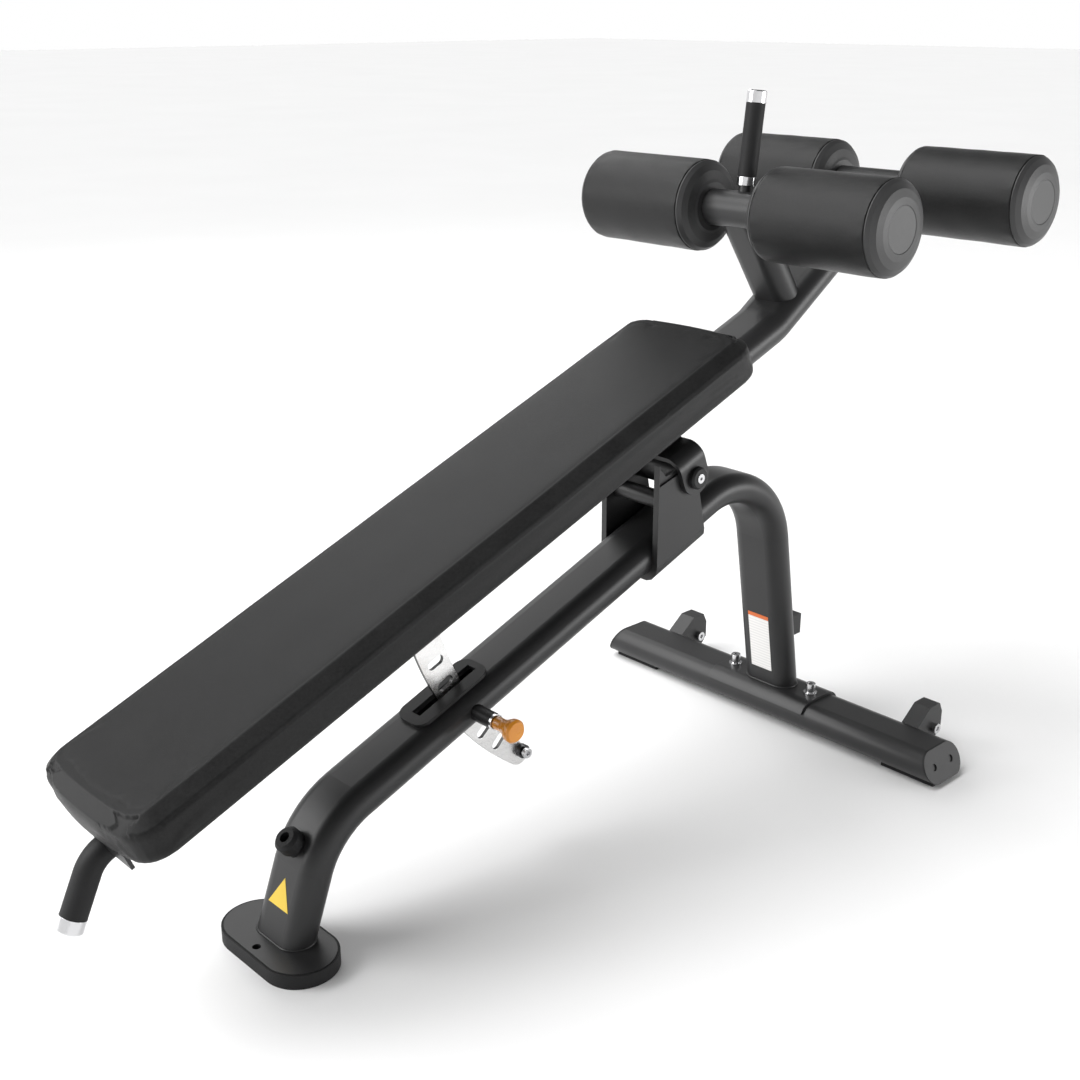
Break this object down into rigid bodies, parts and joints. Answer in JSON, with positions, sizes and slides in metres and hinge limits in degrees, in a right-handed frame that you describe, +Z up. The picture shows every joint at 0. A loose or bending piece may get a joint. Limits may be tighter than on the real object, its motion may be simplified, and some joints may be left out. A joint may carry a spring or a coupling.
{
  "type": "decline bench",
  "caption": "Decline exercise bench with a long tapered pad, foam leg rollers, a pop pin ladder for the tilt, grab handles and transport wheels.",
  "frame": {"origin": "middle of the bounding box on the floor", "axes": "+X from the head end towards the rollers, +Z up, Y = 0 is the symmetry plane of the frame"},
  "size_m": [1.6646, 0.752, 1.1046],
  "materials": {
    "frame_paint": "satin black powder coat",
    "black_plastic": "fine moulded texture",
    "rubber": "matte",
    "bright_steel": "polished",
    "plain_steel": "zinc plated",
    "ladder_steel": "polished",
    "knob_amber": "satin moulded",
    "vinyl": "fine grained vinyl",
    "roller_cap": "satin moulded",
    "board_wood": "plywood",
    "label_white": "printed sticker",
    "label_yellow": "printed sticker",
    "wheel_plastic": "matte"
  },
  "bodies": {
    "base": {"base_tube": "frame_paint", "foot_plate": "frame_paint", "foot_shoe": "rubber", "stabiliser_tube": "frame_paint", "stabiliser_cap_left": "black_plastic", "stabiliser_cap_right": "black_plastic", "ground_pads": "rubber", "saddle_plate": "frame_paint", "saddle_screws": "bright_steel", "wheel_brackets": "frame_paint", "wheel_bolts": "bright_steel", "bumper": "rubber", "bumper_screw": "plain_steel", "leg_rest_block": "frame_paint", "pivot_bracket": "frame_paint", "pivot_sleeve": "frame_paint", "cross_tube": "frame_paint", "slot_guide": "black_plastic", "pin_barrel": "black_plastic", "pin_ring": "bright_steel", "info_label": "label_white", "warning_label": "label_yellow"},
    "bench": {"top_tube": "frame_paint", "top_tube_plug": "black_plastic", "hinge_bracket": "frame_paint", "hinge_riser": "frame_paint", "pivot_shaft": "plain_steel", "pivot_caps": "black_plastic", "pivot_screws": "bright_steel", "pad_board": "board_wood", "pad_cushion": "vinyl", "pad_brackets": "frame_paint", "pad_screws": "plain_steel", "head_bracket": "frame_paint", "ladder_plate": "ladder_steel", "ladder_lug": "frame_paint", "ladder_bolts": "plain_steel", "stop_bolt": "bright_steel", "roller_strut": "frame_paint", "near_axle_bar": "frame_paint", "far_axle_bar": "frame_paint", "head_handle": "frame_paint", "head_grip": "rubber", "head_handle_cap": "bright_steel", "upright_post": "frame_paint", "upright_ring": "bright_steel", "upright_grip": "rubber", "upright_cap": "bright_steel"},
    "lock_pin": {"lock_plunger": "bright_steel", "lock_knob": "knob_amber"},
    "near_left": {"roller_near_left": "vinyl", "caps_near_left": "roller_cap"},
    "near_right": {"roller_near_right": "vinyl", "caps_near_right": "roller_cap"},
    "far_left": {"roller_far_left": "vinyl", "caps_far_left": "roller_cap"},
    "far_right": {"roller_far_right": "vinyl", "caps_far_right": "roller_cap"},
    "left_wheel": {"wheel_left": "wheel_plastic"},
    "right_wheel": {"wheel_right": "wheel_plastic"}
  },
  "joints": [
    {"name": "bench_tilt", "type": "hinge", "parent": "base", "child": "bench", "pos_m": [0.23315, 0, 0.5355], "axis": [0, 1, 0], "range_deg": [-9.3, 13.95]},
    {"name": "pop_pin", "type": "slide", "parent": "base", "child": "lock_pin", "axis": [0, -1, 0], "range_m": [-0.012, 0]},
    {"name": "near_left_spin", "type": "hinge", "parent": "bench", "child": "near_left", "pos_m": [0.39625, 0.1774, 0.9239], "axis": [0, 1, 0], "continuous": true},
    {"name": "near_right_spin", "type": "hinge", "parent": "bench", "child": "near_right", "pos_m": [0.39625, -0.1774, 0.9239], "axis": [0, 1, 0], "continuous": true},
    {"name": "far_left_spin", "type": "hinge", "parent": "bench", "child": "far_left", "pos_m": [0.75935, 0.1929, 0.9331], "axis": [0, 1, 0], "continuous": true},
    {"name": "far_right_spin", "type": "hinge", "parent": "bench", "child": "far_right", "pos_m": [0.75935, -0.1929, 0.9331], "axis": [0, 1, 0], "continuous": true},
    {"name": "left_wheel_spin", "type": "hinge", "parent": "base", "child": "left_wheel", "pos_m": [0.63715, 0.2713, 0.041], "axis": [0, 1, 0], "continuous": true},
    {"name": "right_wheel_spin", "type": "hinge", "parent": "base", "child": "right_wheel", "pos_m": [0.63715, -0.2713, 0.041], "axis": [0, 1, 0], "continuous": true}
  ]
}
